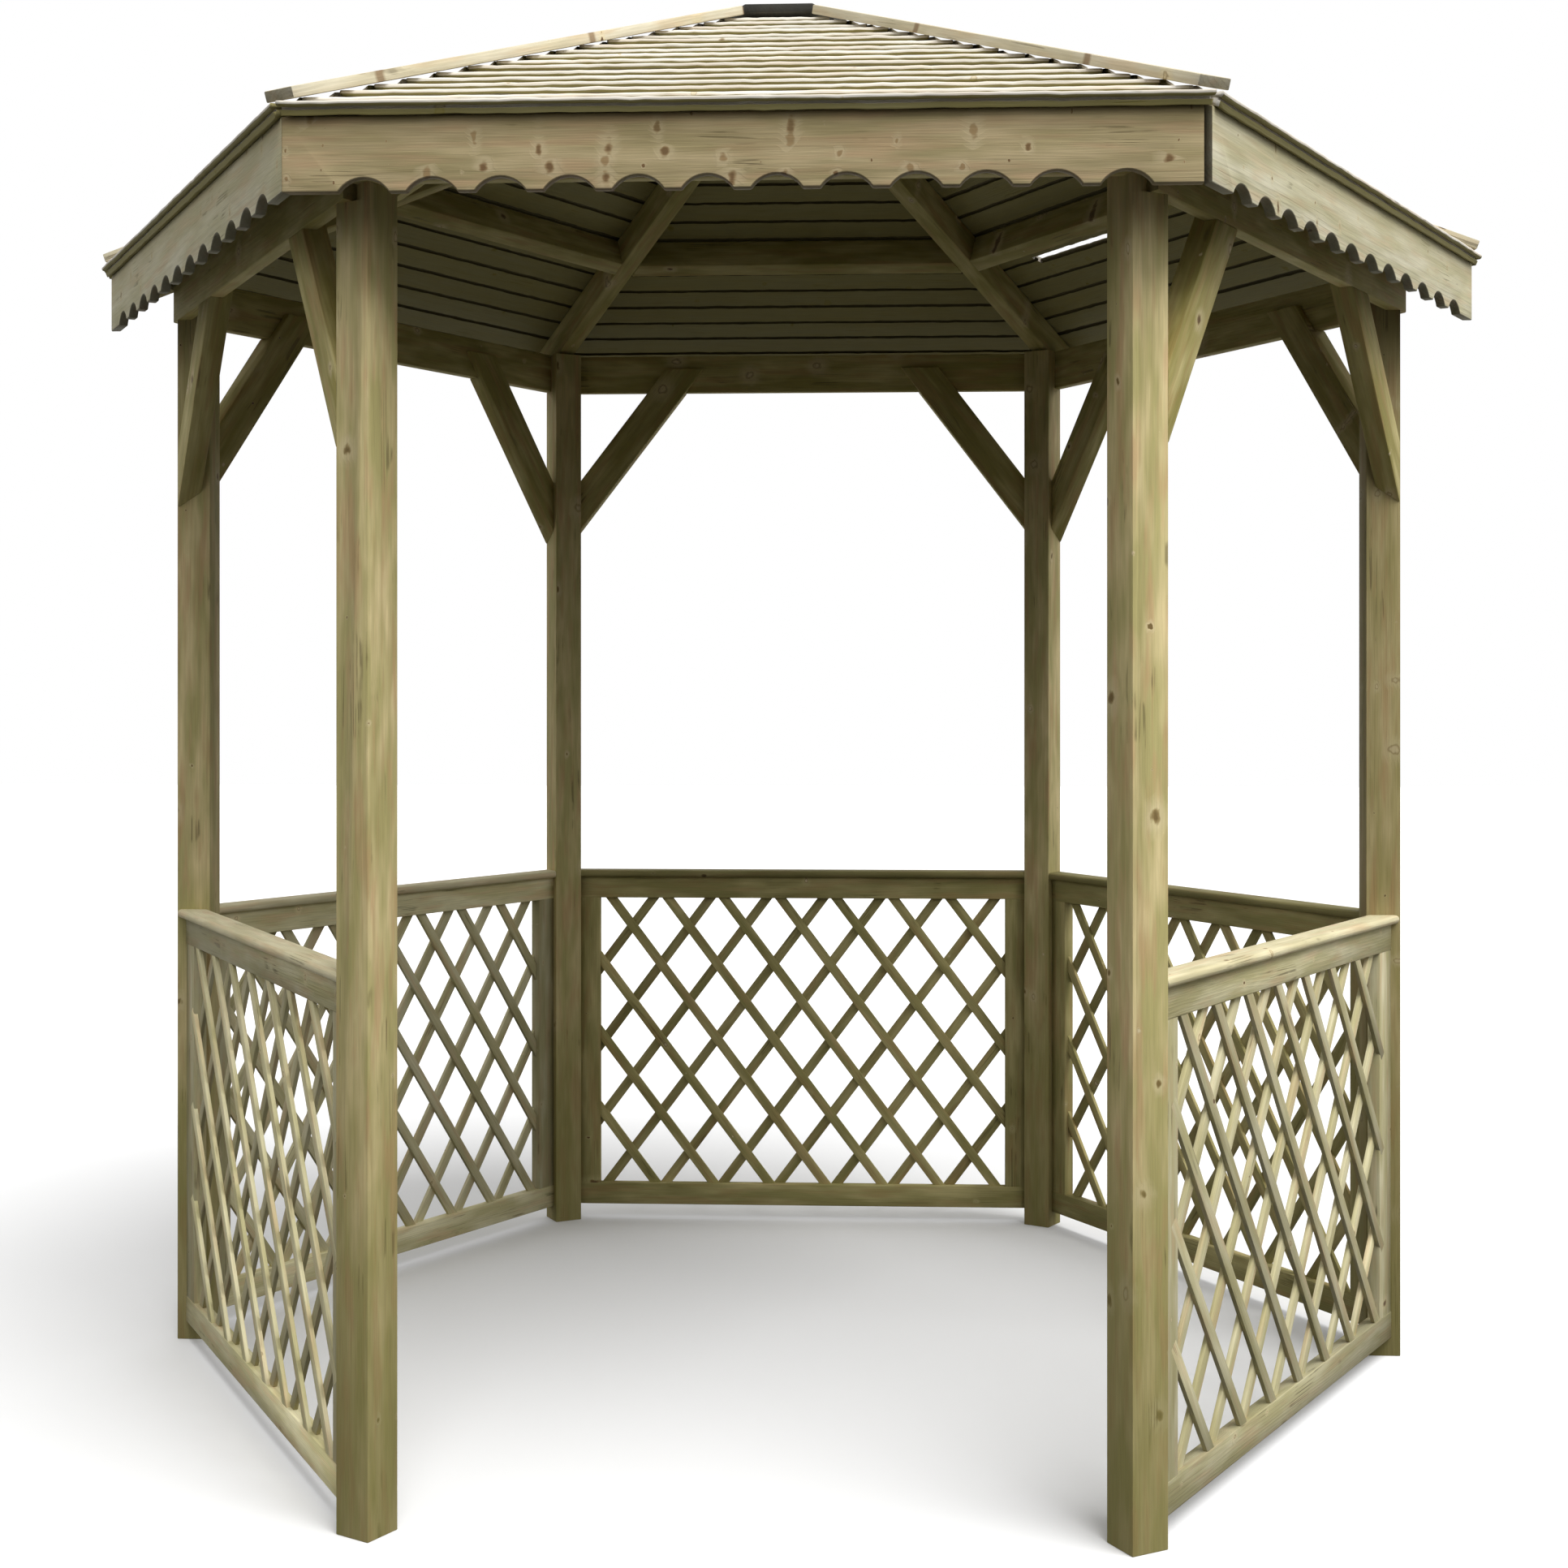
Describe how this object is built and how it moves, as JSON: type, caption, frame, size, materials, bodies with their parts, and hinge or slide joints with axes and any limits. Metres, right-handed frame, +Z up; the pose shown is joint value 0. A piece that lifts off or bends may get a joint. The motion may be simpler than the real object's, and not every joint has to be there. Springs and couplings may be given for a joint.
{
  "type": "hexagonal garden gazebo",
  "caption": "Open hexagonal timber garden gazebo with trellis side panels, handrails, corner braces, scalloped fascias and a boarded hipped roof; one bay is the entrance.",
  "frame": {"origin": "ground level in the middle of the plan", "axes": "+Z up, -Y out through the open bay, +X to the right seen from the entrance"},
  "size_m": [2.9176, 2.5398, 2.7937],
  "materials": {
    "post_timber": "green-brown pressure-treated pine, planed",
    "frame_timber": "green-brown pressure-treated pine, planed",
    "roof_boards": "pale weathered treated pine boards with rounded faces",
    "fascia_boards": "pale treated pine with knots",
    "hip_boards": "pale treated pine",
    "cap_timber": "dark grey stained timber",
    "trellis_timber": "greenish pressure-treated pine, sawn laths",
    "handrail_timber": "pale treated pine, rounded edges"
  },
  "bodies": {
    "root": {"post_right": "post_timber", "post_back_right": "post_timber", "post_back_left": "post_timber", "post_left": "post_timber", "post_front_left": "post_timber", "post_front_right": "post_timber", "front_header": "frame_timber", "plate_right_front": "frame_timber", "plate_right_back": "frame_timber", "plate_back": "frame_timber", "plate_left_back": "frame_timber", "plate_left_front": "frame_timber", "braces_right_front": "frame_timber", "braces_right_back": "frame_timber", "braces_back": "frame_timber", "braces_left_back": "frame_timber", "braces_left_front": "frame_timber", "hip_rafters": "frame_timber", "purlins": "frame_timber", "king_block": "frame_timber", "roof_front": "roof_boards", "roof_right_front": "roof_boards", "roof_right_back": "roof_boards", "roof_back": "roof_boards", "roof_left_back": "roof_boards", "roof_left_front": "roof_boards", "fascia_front": "fascia_boards", "fascia_right_front": "fascia_boards", "fascia_left_front": "fascia_boards", "hip_boards": "hip_boards", "peak_cap": "cap_timber", "trellis_right_front": "trellis_timber", "trellis_right_back": "trellis_timber", "trellis_back": "trellis_timber", "trellis_left_back": "trellis_timber", "trellis_left_front": "trellis_timber", "handrail_right_front": "handrail_timber", "handrail_right_back": "handrail_timber", "handrail_back": "handrail_timber", "handrail_left_back": "handrail_timber", "handrail_left_front": "handrail_timber"}
  },
  "joints": []
}
